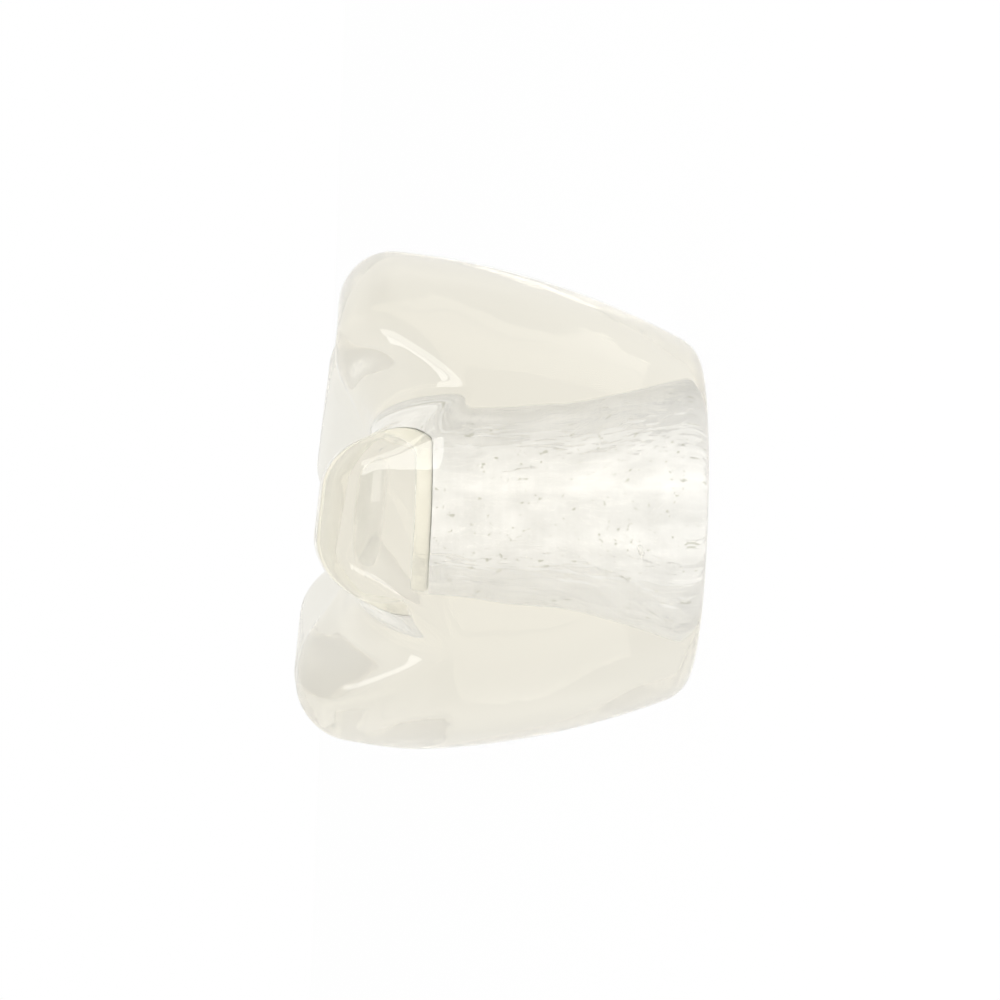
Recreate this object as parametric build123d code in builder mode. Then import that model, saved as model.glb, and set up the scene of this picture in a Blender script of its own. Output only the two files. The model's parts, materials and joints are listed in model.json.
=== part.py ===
from build123d import *
from math import asin, cos, degrees, radians, tan
import os

# Glass insulator, standing on its mouth with the crown up.
# Millimetres and degrees. The origin is on the socket's axis, in the plane of the mouth.

# Glass body: a bell turned about its own axis, which crosses the socket's axis at the socket's
# head and leans a little towards +X above it
bell_lean = 2.2
crown_diameter = 63.5
mouth_diameter = 43.6
rim_round = 4.6

# Crown: its crest leans a little more, down towards +X, and the wall runs upright below it
crest_height = 48.25
crest_lean = 2.5
crest_round = 7.0
crest_width = 10.5
shoulder_drop = 4.7

# Dish in the middle of the crown, measured down from the crest
dish_depth = 8.2
dish_floor_diameter = 12.0
dish_floor_round = 8.0
dish_edge_round = 12.0

# Flutes, which part the crown into five unequal lobes and run out on the wall
flute_angles = (-125.0, -63.0, 22.0, 104.0, 179.5)
flute_depth = 5.6
flute_sweep = 12.0
flute_inset = 0.8
flute_radius = 6.0
flute_edge_round = 5.0
flute_runout = 6.0

# Socket in the glass: a cone from the mouth to the knee, then almost straight up to its head
socket_mouth_diameter = 24.6
socket_knee_diameter = 17.6
socket_knee_height = 19.0
socket_knee_round = 40.0
socket_head_diameter = 15.6
socket_depth = 36.8

# Pieces seated in the socket
fit_clearance = 0.08
pin_diameter = 12.9
pin_flare_diameter = 17.8
pin_flare_height = 5.0
pad_thickness = 2.0
pad_edge_round = 0.5
ring_diameter = 26.2
ring_thickness = 2.0
ring_edge_round = 0.6
ring_recess = 0.5

# Sizes that follow from these
crown_radius = crown_diameter / 2
mouth_radius = mouth_diameter / 2
dish_radius = crown_radius - crest_width
shoulder_height = crest_height - shoulder_drop
wall_spread = crown_radius - mouth_radius
wall_sweep = (shoulder_height**2 + wall_spread**2) / (2 * wall_spread)
stock_height = crest_height + crown_radius * tan(radians(crest_lean)) + crest_round
sweep_radius = crown_radius - flute_inset - flute_sweep
bushing_foot = ring_recess + ring_thickness
bushing_head = socket_depth - pad_thickness


def corners(part, least_angle):
    """Pick the edges where two faces meet at a corner, not where one runs on smoothly."""
    sides = {}
    for face in part.faces():
        for edge in face.edges():
            sides.setdefault(edge, []).append(face.normal_at(edge @ 0.5))
    return ShapeList(
        edge
        for edge, normals in sides.items()
        if len(normals) == 2 and normals[0].get_angle(normals[1]) > least_angle
    )


def flute_place(angle):
    """Turn a flute to its valley between two lobes, at the height of the leaning crest there."""
    fall = sweep_radius * cos(radians(angle)) * tan(radians(crest_lean))
    return Location((0, 0, crest_height - fall), (0, 0, angle))


def socket_radius(height):
    """Radius of the socket's wall at a height, by the two straight stretches of its profile."""
    if height < socket_knee_height:
        share = height / socket_knee_height
        return (socket_mouth_diameter + (socket_knee_diameter - socket_mouth_diameter) * share) / 2
    share = (height - socket_knee_height) / (socket_depth - socket_knee_height)
    return (socket_knee_diameter + (socket_head_diameter - socket_knee_diameter) * share) / 2


# Cutter that levels the crown at its crest and sinks the dish. Its origin lies in the crest's plane.
with BuildPart() as crown_cutter:
    with BuildSketch(Plane.XZ):
        with BuildLine():
            Polyline(
                (0, -dish_depth),
                (dish_floor_diameter / 2, -dish_depth),
                (dish_radius, 0),
                (crown_diameter, 0),
                (crown_diameter, stock_height),
                (0, stock_height),
                close=True,
            )
        make_face()
        fillet(vertices().sort_by_distance((dish_floor_diameter / 2, -dish_depth))[0], dish_floor_round)
        fillet(vertices().sort_by_distance((dish_radius, 0))[0], dish_edge_round)
    revolve(axis=Axis.Z)

# Cutter for one flute: a round bar bent up the wall and over the crown to the dish
with BuildPart() as flute_cutter:
    with BuildLine(Plane.XZ) as flute_floor:
        Line(
            (sweep_radius + flute_sweep, -flute_depth - flute_sweep - flute_runout),
            (sweep_radius + flute_sweep, -flute_depth - flute_sweep),
        )
        CenterArc((sweep_radius, -flute_depth - flute_sweep), flute_sweep, 0, 90)
        Line((sweep_radius, -flute_depth), (dish_floor_diameter / 4, -flute_depth))
    with BuildSketch(Plane(flute_floor.line @ 0, x_dir=(0, 1, 0), z_dir=flute_floor.line % 0)):
        with Locations((0, -flute_radius)):
            Circle(flute_radius)
    sweep(path=flute_floor.line)

# Bell about its own axis: it reaches a little below the mouth, which is cut once it leans
with BuildPart() as bell:
    with BuildSketch(Plane.XZ):
        with BuildLine():
            wall_foot = degrees(asin((shoulder_height + rim_round) / wall_sweep))
            wall_head = degrees(asin((stock_height - shoulder_height) / wall_sweep))
            wall = CenterArc(
                (crown_radius - wall_sweep, shoulder_height),
                wall_sweep,
                -wall_foot,
                wall_foot + wall_head,
            )
            Polyline(wall @ 1, (0, stock_height), (0, -rim_round), wall @ 0)
        make_face()
    revolve(axis=Axis.Z)
    with Locations(Location((0, 0, crest_height), (0, crest_lean, 0))):
        add(crown_cutter.part, mode=Mode.SUBTRACT)
    fillet(corners(bell.part, 30).sort_by(Axis.Z)[-1], crest_round)
    with Locations(*[flute_place(angle) for angle in flute_angles]):
        add(flute_cutter.part, mode=Mode.SUBTRACT)
    fillet(corners(bell.part, 8).filter_by(lambda edge: edge.center().Z > rim_round), flute_edge_round)

# Glass body: the leaning bell, cut level at its mouth, with the socket
with BuildPart() as glass_body:
    with Locations(Pos(0, 0, socket_depth) * Rot(0, bell_lean, 0) * Pos(0, 0, -socket_depth)):
        add(bell.part)
    split(bisect_by=Plane.XY, keep=Keep.TOP)
    fillet(glass_body.edges().group_by(Axis.Z)[0], rim_round)
    with BuildSketch(Plane.XZ):
        with BuildLine():
            Polyline(
                (0, 0),
                (ring_diameter / 2 + fit_clearance, 0),
                (ring_diameter / 2 + fit_clearance, bushing_foot),
                (socket_radius(bushing_foot), bushing_foot),
                (socket_radius(socket_knee_height), socket_knee_height),
                (socket_radius(socket_depth), socket_depth),
                (0, socket_depth),
                close=True,
            )
        make_face()
        knee = vertices().sort_by_distance((socket_radius(socket_knee_height), socket_knee_height))[0]
        fillet(knee, socket_knee_round)
    revolve(axis=Axis.Z, mode=Mode.SUBTRACT)

# Bushing: fills the socket and takes the pin, with a flared mouth to start it
with BuildPart() as pin_bushing:
    with BuildSketch(Plane.XZ):
        with BuildLine():
            Polyline(
                (pin_diameter / 2, bushing_foot),
                (socket_radius(bushing_foot) - fit_clearance, bushing_foot),
                (socket_radius(socket_knee_height) - fit_clearance, socket_knee_height),
                (socket_radius(bushing_head) - fit_clearance, bushing_head),
                (pin_diameter / 2, bushing_head),
                close=True,
            )
        make_face()
        knee = vertices().sort_by_distance(
            (socket_radius(socket_knee_height) - fit_clearance, socket_knee_height)
        )[0]
        fillet(knee, socket_knee_round)
    revolve(axis=Axis.Z)
    with BuildSketch(Plane.XZ):
        with BuildLine():
            flare = Spline(
                (pin_flare_diameter / 2, bushing_foot),
                (pin_diameter / 2, bushing_foot + pin_flare_height),
                tangents=[(-1, 1), (0, 1)],
            )
            Polyline(flare @ 1, (0, bushing_foot + pin_flare_height), (0, bushing_foot), flare @ 0)
        make_face()
    revolve(axis=Axis.Z, mode=Mode.SUBTRACT)

# Pad at the head of the socket, which closes the pin's bore
with BuildPart() as head_pad:
    with BuildSketch(Plane.XY.offset(bushing_head)):
        Circle(socket_radius(socket_depth) - fit_clearance)
    extrude(amount=pad_thickness)
    fillet(head_pad.edges().filter_by(GeomType.CIRCLE), pad_edge_round)

# Ring that closes the mouth of the socket round the bushing's flare
with BuildPart() as mouth_ring:
    with BuildSketch(Plane.XY.offset(ring_recess)):
        Circle(ring_diameter / 2)
        Circle(pin_flare_diameter / 2, mode=Mode.SUBTRACT)
    extrude(amount=ring_thickness)
    fillet(mouth_ring.edges().group_by(Axis.Z)[0], ring_edge_round)

glass_body.part.label = "glass_body"
pin_bushing.part.label = "pin_bushing"
head_pad.part.label = "head_pad"
mouth_ring.part.label = "mouth_ring"

os.makedirs("parts", exist_ok=True)
export_step(glass_body.part, "parts/glass_body.step")
export_step(pin_bushing.part, "parts/pin_bushing.step")
export_step(head_pad.part, "parts/head_pad.step")
export_step(mouth_ring.part, "parts/mouth_ring.step")
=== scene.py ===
# %% [markdown]
# # A pressed-glass insulator
#
# The real thing is a thick bell of clear glass with a five-lobed crown. A socket in its mouth holds
# a frosted bushing for the pin, with a small pad behind it and a ring round its mouth. It is almost
# all glass, so what you see is bent light: smooth closed surfaces and calm, pale surroundings matter
# far more here than colour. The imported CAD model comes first, as the frame for everything else.

import json
import math

import bpy
import numpy as np
from mathutils import Matrix, Vector


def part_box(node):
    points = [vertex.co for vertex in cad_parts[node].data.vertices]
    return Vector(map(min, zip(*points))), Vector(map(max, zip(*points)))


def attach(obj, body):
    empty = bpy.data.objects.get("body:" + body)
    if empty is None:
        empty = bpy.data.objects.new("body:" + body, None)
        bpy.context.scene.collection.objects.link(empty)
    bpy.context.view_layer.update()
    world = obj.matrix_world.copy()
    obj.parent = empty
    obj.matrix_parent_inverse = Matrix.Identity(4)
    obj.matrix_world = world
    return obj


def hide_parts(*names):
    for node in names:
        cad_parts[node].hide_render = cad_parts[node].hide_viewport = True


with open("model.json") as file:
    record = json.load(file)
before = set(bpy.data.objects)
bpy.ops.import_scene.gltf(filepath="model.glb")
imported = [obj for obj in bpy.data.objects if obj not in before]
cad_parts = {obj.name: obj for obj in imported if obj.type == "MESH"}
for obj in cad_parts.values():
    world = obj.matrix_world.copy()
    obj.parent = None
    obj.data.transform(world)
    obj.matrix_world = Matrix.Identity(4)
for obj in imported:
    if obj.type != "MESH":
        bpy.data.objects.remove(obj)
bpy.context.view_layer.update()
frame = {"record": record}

# %% [markdown]
# ## Sizes
#
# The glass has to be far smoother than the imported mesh, whose small flat facets would each bend
# light their own way. So the body is drawn again as a smooth surface, from the same sizes as the
# solid. They are in metres, like everything in Blender.

# %% Sizes that the glass body shares with the solid
mm = 0.001

bell_lean = math.radians(2.2)
crown_radius = 31.75 * mm
mouth_radius = 21.8 * mm
rim_round = 4.6 * mm

crest_height = 48.25 * mm
crest_lean = math.radians(2.5)
crest_round = 7.0 * mm
shoulder_height = 43.55 * mm

dish_depth = 8.2 * mm
dish_floor_radius = 6.0 * mm
dish_radius = 21.25 * mm
dish_floor_round = 8.0 * mm
dish_edge_round = 12.0 * mm

flute_angles = [math.radians(angle) for angle in (-125.0, -63.0, 22.0, 104.0, 179.5)]
flute_depth = 5.6 * mm
flute_sweep = 12.0 * mm
flute_reach = 30.95 * mm
flute_radius = 6.0 * mm
flute_edge_round = 4.2 * mm

# %% Sizes of the socket and what sits in it
fit_clearance = 0.08 * mm
socket_mouth_radius = 12.3 * mm
socket_knee_radius = 8.8 * mm
socket_knee_height = 19.0 * mm
socket_knee_round = 40.0 * mm
socket_head_radius = 7.8 * mm

ring_low, ring_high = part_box("mouth_ring")
bushing_low, bushing_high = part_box("pin_bushing")
pad_low, pad_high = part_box("head_pad")

# A film of air parts the pieces, because light can't tell which of two touching faces it meets.
film = 0.03 * mm
ring_foot = ring_low.z
ring_head = ring_high.z - film
ledge = bushing_low.z
bushing_foot = bushing_low.z + film
bushing_head = bushing_high.z - film
pad_foot = pad_low.z + film
pad_head = pad_high.z - film
socket_depth = pad_high.z
ring_radius = ring_high.x
pad_radius = pad_high.x
pin_radius = frame["record"]["mounts"][0]["dims"]["r_mm"] * mm
flare_radius = 8.9 * mm
flare_height = 5.0 * mm
print("socket depth and pin radius in mm:", round(socket_depth / mm, 2), round(pin_radius / mm, 2))

# %% [markdown]
# ## From arrays to meshes
#
# Every piece here is a surface of two parameters: rows that run from one pole to the other, and
# columns that run once round the axis. Numpy works out all the points at once. One helper then
# turns such a grid into a closed mesh, and it measures the volume, which is negative when the
# faces point inwards, so that they can be turned round.


# %% Grid of points to closed mesh
def signed_volume(points, quads):
    """Sum over the faces of (a x b) . c / 6 for each of a quad's two triangles."""
    a, b, c, d = (points[quads[:, k]] for k in range(4))
    return float((np.cross(a, b) * c).sum() + (np.cross(a, c) * d).sum()) / 6


def joined_faces(grid, ring, outward):
    """Points and four-sided faces of a grid, rows x columns x 3, that closes round its columns.

    The first and last row are poles, each one point, unless ring is true: then the last row
    joins the first, as on a torus. The faces point out of the volume, or into it.
    """
    rows, columns = grid.shape[:2]
    index = np.arange(rows * columns).reshape(rows, columns)
    if ring:
        index = np.vstack([index, index[:1]])
    else:
        index[0], index[-1] = index[0, 0], index[-1, 0]
    beside = np.roll(index, -1, axis=1)
    quads = np.stack([index[:-1], beside[:-1], beside[1:], index[1:]], axis=-1).reshape(-1, 4)
    points = grid.reshape(-1, 3)
    if (signed_volume(points, quads) > 0) != outward:
        quads = quads[:, ::-1]
    return points, quads


def closed_surface(name, grid, ring=False, hollows=()):
    """Mesh one grid as a closed surface. Each hollow is a grid too, its faces turned inwards."""
    points, quads = joined_faces(grid, ring, outward=True)
    for hollow in hollows:
        more_points, more_quads = joined_faces(hollow, ring=False, outward=False)
        quads = np.vstack([quads, more_quads + len(points)])
        points = np.vstack([points, more_points])
    used, quads = np.unique(quads, return_inverse=True)
    quads = quads.reshape(-1, 4)
    faces = [tuple(dict.fromkeys(face)) for face in quads.tolist()]
    mesh = bpy.data.meshes.new(name)
    mesh.from_pydata(points[used].tolist(), [], faces)
    mesh.shade_smooth()
    mesh.validate()
    piece = bpy.data.objects.new(name, mesh)
    bpy.context.scene.collection.objects.link(piece)
    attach(piece, "root")
    volume = signed_volume(points[used], quads) / mm**3
    print(f"{name}: {len(faces)} faces, {volume / 1000:.2f} cubic centimetres")
    return piece


def around(columns):
    """Angles of the columns, once round the axis."""
    return np.linspace(0, 2 * math.pi, columns, endpoint=False)


def lathe(profile, columns):
    """Turn a profile of (radius, height) rows about Z: x = r cos a, y = r sin a, z = h."""
    angle = around(columns)
    radius, height = profile[:, :1], profile[:, 1:]
    return np.stack(
        [radius * np.cos(angle), radius * np.sin(angle), height + 0 * angle],
        axis=-1,
    )


# %% [markdown]
# Corners that are quite sharp look wrong on glass, and smooth shading smears them. So a profile is
# given by its corner points, and each corner gets a small arc of its own radius before it is turned.


# %% Profile with rounded corners
def rounded_profile(corners, step):
    """Profile through corners, each (radius, height, round), with an arc of that round at each one.

    An arc touches both straight runs: its ends lie round / tan(half the corner's angle) from the
    corner. The runs are then filled with points about a step apart.
    """
    points = [np.array(corner[:2], float) for corner in corners]
    stops = [points[0]]
    for before, here, after, corner in zip(points, points[1:], points[2:], corners[1:]):
        back, ahead = before - here, after - here
        back, ahead = back / np.linalg.norm(back), ahead / np.linalg.norm(ahead)
        half = math.acos(np.clip(back @ ahead, -1, 1)) / 2
        middle = (back + ahead) / np.linalg.norm(back + ahead)
        centre = here + middle * corner[2] / math.sin(half)
        start = here + back * corner[2] / math.tan(half) - centre
        sweep = math.pi - 2 * half
        side = math.copysign(1, back[1] * ahead[0] - back[0] * ahead[1])
        turn = side * np.linspace(0, sweep, max(4, int(corner[2] * sweep / step) + 1))[:, None]
        stops += list(centre + start * np.cos(turn) + start[::-1] * [-1, 1] * np.sin(turn))
    stops.append(points[-1])
    filled = [stops[0][None]]
    for here, ahead in zip(stops, stops[1:]):
        count = max(1, int(np.linalg.norm(ahead - here) / step))
        filled.append(here + (ahead - here) * np.linspace(0, 1, count + 1)[1:, None])
    return np.vstack(filled)


# %% [markdown]
# ## The glass body
#
# Pressed glass has no sharp edge anywhere: every form melts into the next. You could model that with
# a subdivision cage, or with the CAD's fillets. Here it is a field instead: a number for every point
# in space, below zero inside the glass and above zero outside. Two fields are joined by taking the
# larger one, with a ball's round where they meet. The surface is where the joined field is zero, and
# it is found by walking out from the middle of the body along thousands of rays at once.
#
# How much room the ball needs depends on the angle between the two surfaces. So each field is
# worked out at the point itself and at three neighbours, a hair's breadth away along x, y and z,
# and the differences give its slope.

# %% Joining two fields with a round
hair = 0.01 * mm


def slope(field):
    """Direction in which a field grows: its three neighbours less the point itself, to length 1."""
    growth = field[1:] - field[0]
    return growth / np.maximum(np.linalg.norm(growth, axis=0), 1e-12)


def join(a, b, ball):
    """The larger of two fields, with a ball of that radius in the corner between them.

    The ball's middle is where both fields are -ball. The distance d from it follows from the law of
    cosines on a + ball and b + ball, and the round is d - ball. It holds between the two points
    where the ball touches the surfaces; past them the larger field holds.
    """
    cosine = np.clip((slope(a) * slope(b)).sum(axis=0), -0.999, 0.999)
    a_in, b_in = a + ball, b + ball
    on_ball = (a_in > b_in * cosine) & (b_in > a_in * cosine)
    square = (a_in**2 + b_in**2 - 2 * a_in * b_in * cosine) / (1 - cosine**2)
    return np.where(on_ball, np.sqrt(np.maximum(square, 0)) - ball, np.maximum(a, b))


# %% Fields of the bell and its crown
def wall(x, y, z):
    """Distance outside the bell: a circle's arc swung about the axis, upright at the shoulder."""
    spread = crown_radius - mouth_radius
    sweep = (shoulder_height**2 + spread**2) / (2 * spread)
    outside = np.hypot(np.hypot(x, y) - (crown_radius - sweep), z - shoulder_height) - sweep
    return np.where(z > shoulder_height, np.hypot(x, y) - crown_radius, outside)


def crown(x, y, z):
    """Distance above the crown: a leaning plane with a dish sunk in it, its corners rounded."""
    across = x * math.cos(crest_lean) - (z - crest_height) * math.sin(crest_lean)
    above = x * math.sin(crest_lean) + (z - crest_height) * math.cos(crest_lean)
    radius = np.hypot(across, y)
    rise = math.atan2(dish_depth, dish_radius - dish_floor_radius)
    floor = above + dish_depth
    side = floor * math.cos(rise) - (radius - dish_floor_radius) * math.sin(rise)
    dish = -join(-floor, -side, dish_floor_round)
    return join(dish, above, dish_edge_round)


# %% [markdown]
# A flute is the groove between two lobes. It is the path of a round bar that comes up the wall, bends
# over the crest in a quarter circle and runs level to the dish. So its field is the distance from
# that bent line, less the bar's radius.


# %% Field of one flute
def flute(x, y, z, angle):
    """Distance from a bar bent over the crown: level, then a quarter circle, then straight down."""
    out = x * math.cos(angle) + y * math.sin(angle)
    aside = y * math.cos(angle) - x * math.sin(angle)
    middle = flute_reach - flute_sweep
    fall = middle * math.cos(angle) * math.tan(crest_lean)
    up = z - (crest_height - fall - flute_depth - flute_sweep)
    bend = (out > middle) & (up > 0)
    over = np.where(bend, np.hypot(out - middle, up), np.maximum(out - middle, up))
    before = np.minimum(out - dish_floor_radius / 2, 0)
    return np.sqrt((over - flute_sweep - flute_radius) ** 2 + aside**2 + before**2) - flute_radius


def body_field(points):
    """Field of the whole body outside the socket, at points x, y, z and their three neighbours.

    The bell, its crown and its flutes are worked out in the leaning bell's own frame, which is
    turned about Y at the socket's head. The mouth is cut level.
    """
    steps = hair * np.vstack([np.zeros(3), np.eye(3)])
    x, y, z = (points[..., k] + steps[:, k, None, None] for k in range(3))
    cosine, sine = math.cos(bell_lean), math.sin(bell_lean)
    across = x * cosine - (z - socket_depth) * sine
    along = x * sine + (z - socket_depth) * cosine + socket_depth
    field = join(wall(across, y, along), crown(across, y, along), crest_round)
    for angle in flute_angles:
        field = join(field, -flute(across, y, along, angle), flute_edge_round)
    return join(field, -z, rim_round)[0]


# %% [markdown]
# The rays leave a point on the axis, and each one crosses the surface once. Halving the stretch that
# holds the crossing 24 times over leaves an error far below a thousandth of a millimetre.


# %% Walk the rays out to the surface
ray_source = 20.0 * mm
mouth_edge_round = 0.3 * mm
hole_radius = ring_radius + fit_clearance

columns = 320
crown_rows = 230
steepest = math.pi - math.atan2(hole_radius + mouth_edge_round, ray_source)
turn_down = np.linspace(0, steepest, crown_rows)[:, None]
turn_round = around(columns)[None]
rays = np.stack(
    [np.sin(turn_down) * np.cos(turn_round), np.sin(turn_down) * np.sin(turn_round),
     np.cos(turn_down) + 0 * turn_round],
    axis=-1,
)
near = np.zeros(rays.shape[:2])
far = np.full(rays.shape[:2], 60 * mm)
for halving in range(24):
    half_way = (near + far) / 2
    outside = body_field([0, 0, ray_source] + rays * half_way[..., None]) > 0
    far = np.where(outside, half_way, far)
    near = np.where(outside, near, half_way)
outer_skin = [0, 0, ray_source] + rays * far[..., None]
print("crown reaches z in mm:", round(float(outer_skin[..., 2].max()) / mm, 2))

# %% [markdown]
# Pressed glass traps a little air. A bubble is a closed surface inside the glass whose faces point
# into the air, as the faces of the body point out of the glass. So it needs no material of its own:
# it is part of the body's mesh, and the light meets it as one more wall.


# %% Air bubble in the wall
def egg(middle, radius, length, lean):
    """Long bubble: a circle's arc of points turned about its own axis, drawn out, then tilted."""
    turn = np.linspace(0, math.pi, 24)[:, None]
    profile = np.hstack([radius * np.sin(turn), length * np.cos(turn)])
    x, y, z = np.moveaxis(lathe(profile, 32), -1, 0)
    tilted = [x * math.cos(lean) + z * math.sin(lean), y, z * math.cos(lean) - x * math.sin(lean)]
    return np.stack(tilted, axis=-1) + middle


bubble = egg([-4.5 * mm, -17.6 * mm, 9.2 * mm], 0.4 * mm, 0.75 * mm, math.radians(65))

# %% [markdown]
# The socket is turned on a lathe: from the mouth's small round edge, past the ledge where the ring
# sits, up the cone and round the knee to its head. Its rows carry on from the last row of the outer
# skin, so that body and socket are one closed piece of glass.


# %% Socket and body in one surface
def socket_radius(height):
    """Radius of the socket's straight stretches at a height."""
    if height < socket_knee_height:
        share = height / socket_knee_height
        return socket_mouth_radius + (socket_knee_radius - socket_mouth_radius) * share
    share = (height - socket_knee_height) / (socket_depth - socket_knee_height)
    return socket_knee_radius + (socket_head_radius - socket_knee_radius) * share


socket_profile = rounded_profile(
    [
        (hole_radius + mouth_edge_round, 0, 0),
        (hole_radius, 0, 0.2 * mm),
        (hole_radius, ledge, 0.15 * mm),
        (socket_radius(ledge), ledge, 0.15 * mm),
        (socket_knee_radius, socket_knee_height, socket_knee_round),
        (socket_radius(socket_depth), socket_depth, 0.3 * mm),
        (0, socket_depth, 0),
    ],
    0.8 * mm,
)
body_grid = np.concatenate([outer_skin, lathe(socket_profile[1:], columns)])
glass_body = closed_surface("glass_bell", body_grid, hollows=[bubble])
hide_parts("glass_body")

# %% [markdown]
# ## The bushing
#
# A moulded sleeve fills the socket and takes the pin. Its outside has faint rings, which catch the
# light through the glass. A ripple of a few hundredths of a millimetre in the profile, one to the
# millimetre, gives those rings as real geometry. The profile is a loop, so its first and last
# points are one and the same: they join on a straight run, the bore's wall, where no edge shows.

# %% Bushing
rib_pitch = 1.0 * mm
rib_height = 0.03 * mm
sleeve = socket_radius(bushing_foot) - fit_clearance
bore_join = (flare_height + bushing_head) / 2
bushing_profile = rounded_profile(
    [
        (pin_radius, bore_join, 0),
        (pin_radius, bushing_foot + flare_radius - pin_radius, 6.0 * mm),
        (flare_radius, bushing_foot, 0.1 * mm),
        (sleeve, bushing_foot, 0.1 * mm),
        (socket_knee_radius - fit_clearance, socket_knee_height, socket_knee_round),
        (socket_radius(bushing_head) - fit_clearance, bushing_head, 0.2 * mm),
        (pin_radius, bushing_head, 0.2 * mm),
        (pin_radius, bore_join, 0),
    ],
    0.2 * mm,
)[:-1]
outside = bushing_profile[:, 0] > pin_radius + 1.0 * mm
ribbed = outside & (bushing_profile[:, 1] > bushing_foot + 1.0 * mm)
ribbed &= bushing_profile[:, 1] < bushing_head - 0.5 * mm
ripple = 0.5 - 0.5 * np.cos(2 * math.pi * bushing_profile[:, 1] / rib_pitch)
bushing_profile[:, 0] -= rib_height * ripple * ribbed
bushing = closed_surface("bushing", lathe(bushing_profile, 192), ring=True)
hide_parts("pin_bushing")

# %% [markdown]
# ## Pad and ring
#
# The pad is a soft clear disc that the pin's tip rests on, and the ring is a milky seal round the
# mouth. Both are small turned forms with rounded edges.

# %% Pad at the head of the socket
pad_profile = rounded_profile(
    [
        (0, pad_foot, 0),
        (pad_radius, pad_foot, 0.5 * mm),
        (pad_radius, pad_head, 0.5 * mm),
        (0, pad_head, 0),
    ],
    0.25 * mm,
)
pad = closed_surface("clear_pad", lathe(pad_profile, 128))
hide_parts("head_pad")

# %% Ring round the mouth
ring_join = ring_radius - 2 * mm
ring_profile = rounded_profile(
    [
        (ring_join, ring_foot, 0),
        (ring_radius, ring_foot, 0.6 * mm),
        (ring_radius, ring_head, 0.15 * mm),
        (flare_radius, ring_head, 0.15 * mm),
        (flare_radius, ring_foot, 0.6 * mm),
        (ring_join, ring_foot, 0),
    ],
    0.2 * mm,
)[:-1]
ring = closed_surface("mouth_seal", lathe(ring_profile, 160), ring=True)
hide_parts("mouth_ring")

# %% [markdown]
# ## Finishes
#
# Every finish is built from nodes on one Principled shader. The helpers below start one and add
# the bump or the mottling that keeps a surface from looking too perfect.


# %% Helpers for finishes
def new_finish(name, **constants):
    """Material with one Principled shader whose plain sockets are set to the given constants."""
    finish = bpy.data.materials.new(name)
    finish.use_nodes = True
    shader = finish.node_tree.nodes["Principled BSDF"]
    for socket, value in constants.items():
        shader.inputs[socket.replace("_", " ")].default_value = value
    return finish, finish.node_tree.nodes, finish.node_tree.links, shader


def noise(nodes, links, scale, detail=2.0, stretch=(1, 1, 1)):
    """Noise in Object coordinates, scale in waves per metre, drawn out along an axis by stretch."""
    place = nodes.new("ShaderNodeTexCoord")
    mapping = nodes.new("ShaderNodeMapping")
    mapping.inputs["Scale"].default_value = stretch
    texture = nodes.new("ShaderNodeTexNoise")
    texture.inputs["Scale"].default_value = scale
    texture.inputs["Detail"].default_value = detail
    links.new(place.outputs["Object"], mapping.inputs["Vector"])
    links.new(mapping.outputs["Vector"], texture.inputs["Vector"])
    return texture.outputs["Fac"]


def spread(nodes, links, value, low, high, from_low=0.3, from_high=0.7):
    """Map a value from one range to another; the ends hold past it."""
    ramp = nodes.new("ShaderNodeMapRange")
    limits = {"From Min": from_low, "From Max": from_high, "To Min": low, "To Max": high}
    for socket, number in limits.items():
        ramp.inputs[socket].default_value = number
    links.new(value, ramp.inputs["Value"])
    return ramp.outputs["Result"]


def product(nodes, links, first, second):
    """One value times another."""
    node = nodes.new("ShaderNodeMath")
    node.operation = "MULTIPLY"
    links.new(first, node.inputs[0])
    links.new(second, node.inputs[1])
    return node.outputs[0]


def bump(nodes, links, height, distance, strength, before=None):
    """Bump whose full height is a distance in metres."""
    node = nodes.new("ShaderNodeBump")
    node.inputs["Distance"].default_value = distance
    node.inputs["Strength"].default_value = strength
    links.new(height, node.inputs["Height"])
    if before is not None:
        links.new(before, node.inputs["Normal"])
    return node.outputs["Normal"]


def mixed(nodes, links, factor, first, second):
    """Mix of two shaders; the factor is a plain share or a node's output."""
    node = nodes.new("ShaderNodeMixShader")
    if isinstance(factor, float):
        node.inputs["Fac"].default_value = factor
    else:
        links.new(factor, node.inputs["Fac"])
    links.new(first, node.inputs[1])
    links.new(second, node.inputs[2])
    return node.outputs[0]


# Share of the rays thrown back inside the glass that then leave straight through the wall
inside_calm = 0.7


def straight_through(nodes, links, shader):
    """Let lamps' rays, and most rays that have been thrown back inside, pass the surface unbent."""
    clear = nodes.new("ShaderNodeBsdfTransparent").outputs[0]
    path = nodes.new("ShaderNodeLightPath")
    bent = shader.outputs[0]
    calmed = mixed(nodes, links, inside_calm, bent, clear)
    inside = mixed(nodes, links, path.outputs["Is Glossy Ray"], bent, calmed)
    whole = mixed(nodes, links, path.outputs["Is Shadow Ray"], inside, clear)
    links.new(whole, nodes["Material Output"].inputs["Surface"])


# %% [markdown]
# ### Pressed glass
#
# Clear soda glass: it lets light through, bends it with an index of 1.5, and has the faint straw
# tint that thick glass shows. Part of the tint is in the volume, so a thick part is deeper in colour
# than a thin one, and part is on the surface. A slow, shallow waviness is left by the mould.
#
# Inside so thick a piece, light is thrown from wall to wall many times, and each time the picture
# gets busier. So most rays that have been thrown back once then leave straight through the wall,
# which keeps the body as calm as real glass is in soft light. Rays to the lamps pass it too, or the
# bushing would lie in the dark.
#
# The socket's wall is rougher than the outside, because hot glass drags along the plunger that
# presses it. A mask keeps that relief to the socket: it is 1 within the socket's radius and below
# its head, and 0 elsewhere.

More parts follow.
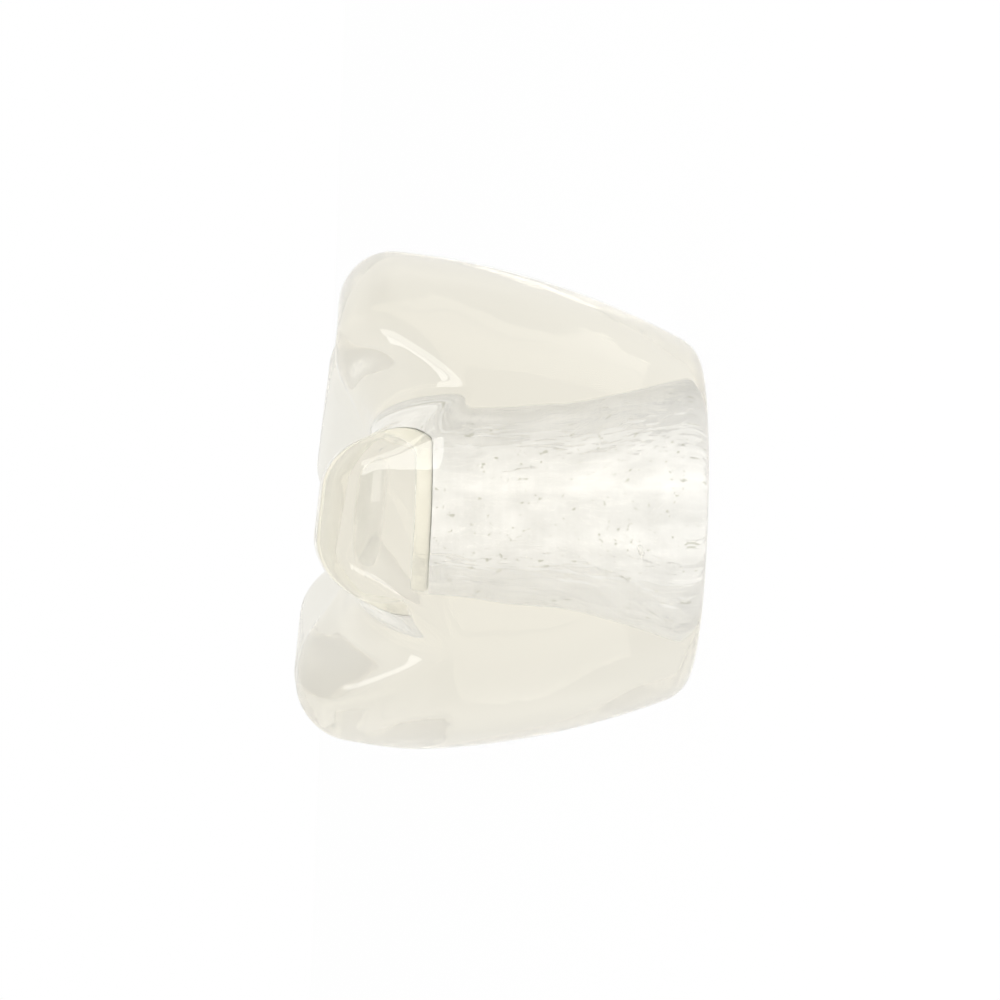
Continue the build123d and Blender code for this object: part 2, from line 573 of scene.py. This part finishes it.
# %% Glass
glass, nodes, links, shader = new_finish(
    "pressed_glass", Roughness=0.0, IOR=1.5, Transmission_Weight=1.0
)
shader.inputs["Base Color"].default_value = (0.95, 0.942, 0.895, 1)
wave = bump(nodes, links, noise(nodes, links, 70, 1.0), 0.6 * mm, 0.5)
skin = bump(nodes, links, noise(nodes, links, 600, 2.0), 0.02 * mm, 0.25, before=wave)

# %% Relief of the socket's wall
place = nodes.new("ShaderNodeTexCoord")
flat = nodes.new("ShaderNodeMapping")
flat.inputs["Scale"].default_value = (1, 1, 0)
links.new(place.outputs["Object"], flat.inputs["Vector"])
from_axis = nodes.new("ShaderNodeVectorMath")
from_axis.operation = "LENGTH"
links.new(flat.outputs["Vector"], from_axis.inputs[0])
height = nodes.new("ShaderNodeSeparateXYZ")
links.new(place.outputs["Object"], height.inputs["Vector"])
near_axis = spread(
    nodes, links, from_axis.outputs["Value"], 1, 0,
    socket_mouth_radius, socket_mouth_radius + 0.6 * mm,
)
below_head = spread(
    nodes, links, height.outputs["Z"], 1, 0,
    socket_depth - 1.5 * mm, socket_depth - 0.3 * mm,
)
in_socket = product(nodes, links, near_axis, below_head)
dragged = product(nodes, links, noise(nodes, links, 450, 3.0, (1, 1, 0.3)), in_socket)
relief = bump(nodes, links, dragged, 0.8 * mm, 1.0, before=skin)
links.new(relief, shader.inputs["Normal"])

# %% Polish and tint of the glass
roughness = spread(nodes, links, noise(nodes, links, 150, 3.0), 0.0, 0.03)
links.new(roughness, shader.inputs["Roughness"])

tint = nodes.new("ShaderNodeVolumeAbsorption")
tint.inputs["Color"].default_value = (0.90, 0.85, 0.73, 1)
tint.inputs["Density"].default_value = 10.0
links.new(tint.outputs["Volume"], nodes["Material Output"].inputs["Volume"])
straight_through(nodes, links, shader)
glass_body.data.materials.append(glass)

# %% [markdown]
# ### Frosted bushing
#
# A milky, faintly bluish thermoplastic with a soft sheen, which looks silvery behind the straw tint
# of the glass. Its cloudiness is a mix of two near whites, and the lowest dips of a fine noise leave
# a few grey specks on it.

# %% Bushing's finish
frosted, nodes, links, shader = new_finish("frosted_plastic", IOR=1.45, Transmission_Weight=0.1)
cloud = noise(nodes, links, 500, 3.0, (1, 1, 0.5))
mix = nodes.new("ShaderNodeMix")
mix.data_type = "RGBA"
mix.inputs["A"].default_value = (0.80, 0.81, 0.84, 1)
mix.inputs["B"].default_value = (0.93, 0.94, 0.98, 1)
links.new(spread(nodes, links, cloud, 0, 1), mix.inputs["Factor"])
specks = nodes.new("ShaderNodeMix")
specks.data_type = "RGBA"
specks.inputs["B"].default_value = (0.6, 0.61, 0.59, 1)
dust = noise(nodes, links, 1700, 3.0, (1, 1, 0.7))
links.new(spread(nodes, links, dust, 1, 0, 0.3, 0.36), specks.inputs["Factor"])
links.new(mix.outputs["Result"], specks.inputs["A"])
links.new(specks.outputs["Result"], shader.inputs["Base Color"])
links.new(spread(nodes, links, noise(nodes, links, 900, 2.0), 0.3, 0.45), shader.inputs["Roughness"])
grain = noise(nodes, links, 1200, 2.0, (1, 1, 0.4))
links.new(bump(nodes, links, grain, 0.03 * mm, 0.3), shader.inputs["Normal"])
bushing.data.materials.append(frosted)

# %% [markdown]
# ### Pad and seal
#
# The pad is clear rubber, a little yellow. The seal is the same rubber left milky.

# %% Pad's and ring's finishes
clear_rubber, nodes, links, shader = new_finish("clear_rubber", IOR=1.42, Transmission_Weight=0.3)
shader.inputs["Base Color"].default_value = (0.98, 0.97, 0.915, 1)
links.new(spread(nodes, links, noise(nodes, links, 500, 2.0), 0.12, 0.25), shader.inputs["Roughness"])
links.new(bump(nodes, links, noise(nodes, links, 900, 2.0), 0.03 * mm, 0.3), shader.inputs["Normal"])
pad.data.materials.append(clear_rubber)

milky_rubber, nodes, links, shader = new_finish("milky_rubber", IOR=1.42, Transmission_Weight=0.3)
shader.inputs["Base Color"].default_value = (0.60, 0.59, 0.56, 1)
links.new(spread(nodes, links, noise(nodes, links, 500, 2.0), 0.3, 0.45), shader.inputs["Roughness"])
links.new(bump(nodes, links, noise(nodes, links, 900, 2.0), 0.03 * mm, 0.3), shader.inputs["Normal"])
ring.data.materials.append(milky_rubber)

# %% [markdown]
# ## Light and floor
#
# Clear glass shows its surroundings and nothing else, and on plain white it would vanish. So what
# the camera meets directly is plain white, while the glass shows a pale, slightly warm card. The
# card is darker on the camera's side, which edges and rounds mirror.

# %% Card round the glass
card_colour = (0.955, 0.95, 0.92, 1)
camera_side_colour = (0.85, 0.84, 0.81, 1)

world = bpy.data.worlds.new("studio")
bpy.context.scene.world = world
world.use_nodes = True
nodes, links = world.node_tree.nodes, world.node_tree.links
nodes.clear()
direction = nodes.new("ShaderNodeTexCoord")
parts = nodes.new("ShaderNodeSeparateXYZ")
links.new(direction.outputs["Generated"], parts.inputs["Vector"])
backdrop = nodes.new("ShaderNodeMapRange")
backdrop.interpolation_type = "SMOOTHSTEP"
backdrop.inputs["From Min"].default_value = -0.9
backdrop.inputs["From Max"].default_value = 0.3
links.new(parts.outputs["Y"], backdrop.inputs["Value"])
card = nodes.new("ShaderNodeMix")
card.data_type = "RGBA"
card.inputs["A"].default_value = camera_side_colour
card.inputs["B"].default_value = card_colour
links.new(backdrop.outputs["Result"], card.inputs["Factor"])

# %% [markdown]
# The card falls off towards the two ends of X. Light from there is what the socket's wall mirrors
# along its edges, and the fall-off makes the two silvery bands darker than the bushing between them.
# Faint folds, a slow noise over the directions, keep the body from looking evenly filled.

# %% Fall-off and folds
level_above = 0.75
level_below = 0.95
cloth_level = 0.9

above = spread(nodes, links, parts.outputs["X"], 1.0, level_above, 0.75, 0.95)
below = spread(nodes, links, parts.outputs["X"], level_below, 1.0, -0.95, -0.75)
gap = product(nodes, links, above, below)
cloth = nodes.new("ShaderNodeTexNoise")
cloth.inputs["Scale"].default_value = 3.0
cloth.inputs["Detail"].default_value = 2.0
links.new(direction.outputs["Generated"], cloth.inputs["Vector"])
folds = spread(nodes, links, cloth.outputs["Fac"], cloth_level, 1.0)

# %% [markdown]
# Each kind of ray now gets its own light: plain white for the camera, the card for rays that come
# off or through the glass, and an even fill for matt surfaces.


# %% Light for each kind of ray
def studio_light(level, name):
    """Background shader of one strength."""
    node = nodes.new("ShaderNodeBackground")
    node.name = name
    node.inputs["Color"].default_value = (1, 1, 1, 1)
    node.inputs["Strength"].default_value = level
    return node


path = nodes.new("ShaderNodeLightPath")
seen = studio_light(1.0, "seen by the camera")
through = studio_light(1.0, "seen in and through glass")
links.new(card.outputs["Result"], through.inputs["Color"])
links.new(product(nodes, links, gap, folds), through.inputs["Strength"])
fill = studio_light(0.9, "light on matt surfaces")
lit = mixed(nodes, links, path.outputs["Is Glossy Ray"], fill.outputs[0], through.outputs[0])
lit = mixed(nodes, links, path.outputs["Is Transmission Ray"], lit, through.outputs[0])
lit = mixed(nodes, links, path.outputs["Is Camera Ray"], lit, seen.outputs[0])
out = nodes.new("ShaderNodeOutputWorld")
links.new(lit, out.inputs["Surface"])

# %% [markdown]
# The floor is nearly white to the camera and keeps a faint shadow. Rays from the glass pass it:
# otherwise the seam between floor and backdrop would run bent through the whole body.

# %% Floor
reach = 3.0
corners = [(-reach, -reach, 0), (reach, -reach, 0), (reach, reach, 0), (-reach, reach, 0)]
floor_mesh = bpy.data.meshes.new("floor")
floor_mesh.from_pydata(corners, [], [(0, 1, 2, 3)])
floor = bpy.data.objects.new("floor", floor_mesh)
bpy.context.scene.collection.objects.link(floor)

# %% Floor's finish
floor_white = 0.96
white_floor, nodes, links, shader = new_finish("white_floor", Roughness=0.8)
shader.inputs["Base Color"].default_value = (0.93, 0.93, 0.93, 1)
path = nodes.new("ShaderNodeLightPath")
white = nodes.new("ShaderNodeEmission").outputs[0]
gone = nodes.new("ShaderNodeBsdfTransparent").outputs[0]
to_eye = mixed(nodes, links, floor_white, shader.outputs[0], white)
look = mixed(nodes, links, path.outputs["Is Glossy Ray"], shader.outputs[0], gone)
look = mixed(nodes, links, path.outputs["Is Transmission Ray"], look, gone)
look = mixed(nodes, links, path.outputs["Is Camera Ray"], look, to_eye)
links.new(look, nodes["Material Output"].inputs["Surface"])
floor_mesh.materials.append(white_floor)

# %% [markdown]
# Large, soft lamps stand upright on the camera's side. The wide upper one shapes the bushing and the
# narrow ones draw thin highlights in the flutes. None shows through the glass, and the low glow
# doesn't show in it either: its mirror image would lie as a white patch on the bell.


# %% Lamps
def soft_lamp(name, place, wide, tall, power):
    """Upright area lamp that faces the middle of the body and isn't seen through the glass.

    Its place and its two sides are in metres, and its power is in watts.
    """
    lamp = bpy.data.lights.new(name, "AREA")
    lamp.shape = "RECTANGLE"
    lamp.size, lamp.size_y = wide, tall
    lamp.energy = power
    holder = bpy.data.objects.new(name, lamp)
    holder.location = place
    holder.rotation_euler = (Vector((0, 0, 0.025)) - Vector(place)).to_track_quat("-Z", "Y").to_euler()
    holder.visible_transmission = False
    bpy.context.scene.collection.objects.link(holder)
    return holder


soft_lamp("upper_strip", (0.38, -0.9, 0.2), 0.3, 0.8, 3.2)
soft_lamp("flute_strip", (0.55, -0.65, 0.3), 0.2, 0.6, 1.1)
soft_lamp("front_card", (0.12, -1.0, 0.1), 0.25, 0.25, 0.3)
soft_lamp("lower_strip", (-0.55, -0.6, 0.3), 0.16, 0.6, 1.0)
lower_glow = soft_lamp("lower_glow", (-0.8, -0.56, 0.2), 0.15, 0.8, 1.6)
lower_glow.visible_glossy = False

# %% [markdown]
# ## Camera
#
# The piece lies on its side to the camera, with its crown to the left, so the camera looks along Y
# and is rolled a quarter turn and a little more. It is far off with a long lens, so the bell's
# outline is hardly widened by perspective.

# %% Camera
elevation = math.radians(3.0)
roll = math.radians(2.0)
view_distance = 0.600
view_width = 0.1273
forward = Vector((0, math.cos(elevation), -math.sin(elevation)))
to_mouth = Vector((0, -math.sin(elevation), -math.cos(elevation)))
sideways = Vector((1, 0, 0))
camera_x = math.cos(roll) * to_mouth + math.sin(roll) * sideways
camera_y = -math.sin(roll) * to_mouth + math.cos(roll) * sideways
camera_data = bpy.data.cameras.new("camera")
camera_data.lens = camera_data.sensor_width * view_distance / view_width
camera_data.clip_end = 20
camera = bpy.data.objects.new("camera", camera_data)
aim = Vector((0.0007, 0, 0.0248))
facing = Matrix([camera_x, camera_y, -forward]).transposed()
camera.matrix_world = Matrix.Translation(aim - view_distance * forward) @ facing.to_4x4()
bpy.context.scene.collection.objects.link(camera)
bpy.context.scene.camera = camera

bpy.context.scene.view_settings.view_transform = "Standard"
